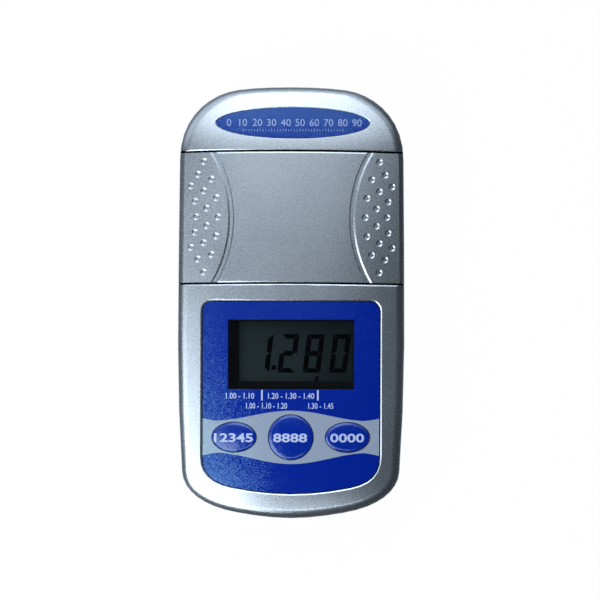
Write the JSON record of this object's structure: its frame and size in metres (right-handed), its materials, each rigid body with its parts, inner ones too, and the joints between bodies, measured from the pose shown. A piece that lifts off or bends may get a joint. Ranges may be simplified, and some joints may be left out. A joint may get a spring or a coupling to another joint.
{
  "type": "antifreeze tester",
  "caption": "Palm-sized digital refractometer for coolant: silver case, flip cover over a prism dish, blue panel with a numeric display and domed press keys.",
  "frame": {"origin": "centre of the bounding box's underside, with the case lying on its flat back", "axes": "+Z rises out of the display side, +Y points at the capped end with the hinge, +X is the right-hand side seen from the display side"},
  "size_m": [0.0652, 0.124, 0.0253],
  "materials": {
    "case_silver": "satin, fine metallic silver paint",
    "panel_blue": "satin film with fine grain and pale print",
    "key_blue": "satin film over a domed key with pale print",
    "window_clear": "clear",
    "bezel_black": "matt",
    "lcd_glass": "polarised, dark segments on grey-green",
    "elastomer": "matt",
    "board_green": "solder mask",
    "chip_black": "matt",
    "switch_dark": "matt",
    "stage_steel": "turned",
    "prism_glass": "polished",
    "seal_rubber": "matt",
    "block_black": "matt",
    "liner_black": "matt",
    "emitter_amber": "clear tinted",
    "sensor_dark": "glossy",
    "ribbon_amber": "satin film",
    "pin_steel": "ground",
    "cell_jacket": "printed film jacket",
    "spring_steel": "plated",
    "contact_nickel": "plated",
    "screw_steel": "plated"
  },
  "bodies": {
    "case": {"front_shell": "case_silver", "back_shell": "case_silver", "badge_plate": "panel_blue", "panel_overlay": "panel_blue", "lcd_window": "window_clear", "lcd_frame": "bezel_black", "lcd_glass": "lcd_glass", "zebra_strip": "elastomer", "main_board": "board_green", "processor_chip": "chip_black", "scale_switch": "switch_dark", "read_switch": "switch_dark", "zero_switch": "switch_dark", "sample_stage": "stage_steel", "prism_seal": "seal_rubber", "prism": "prism_glass", "optics_block": "block_black", "light_emitter": "emitter_amber", "sensor_board": "board_green", "sensor_array": "sensor_dark", "sensor_ribbon": "ribbon_amber", "hinge_pin_left": "pin_steel", "hinge_pin_right": "pin_steel", "battery_left": "cell_jacket", "battery_right": "cell_jacket", "battery_spring_left": "spring_steel", "battery_spring_right": "spring_steel", "contact_plate_left": "contact_nickel", "contact_plate_right": "contact_nickel", "case_screw_1": "screw_steel", "case_screw_2": "screw_steel", "case_screw_3": "screw_steel", "case_screw_4": "screw_steel", "board_screw_1": "screw_steel", "board_screw_2": "screw_steel"},
    "cover": {"cover": "case_silver", "cover_liner": "liner_black", "cover_gasket": "seal_rubber"},
    "scale_key": {"scale_key": "key_blue"},
    "read_key": {"read_key": "key_blue"},
    "zero_key": {"zero_key": "key_blue"},
    "battery_door": {"battery_door": "case_silver"}
  },
  "joints": [
    {"name": "cover_hinge", "type": "hinge", "parent": "case", "child": "cover", "pos_m": [0, 0.0376, 0.02], "axis": [-1, 0, 0], "range_deg": [0, 100]},
    {"name": "scale_key_press", "type": "slide", "parent": "case", "child": "scale_key", "axis": [0, 0, -1], "range_m": [0, 0.0005], "stiffness_N_per_m": 400},
    {"name": "read_key_press", "type": "slide", "parent": "case", "child": "read_key", "axis": [0, 0, -1], "range_m": [0, 0.0005], "stiffness_N_per_m": 400},
    {"name": "zero_key_press", "type": "slide", "parent": "case", "child": "zero_key", "axis": [0, 0, -1], "range_m": [0, 0.0005], "stiffness_N_per_m": 400},
    {"name": "battery_door_slide", "type": "slide", "parent": "case", "child": "battery_door", "axis": [0, -1, 0], "range_m": [0, 0.008]}
  ]
}
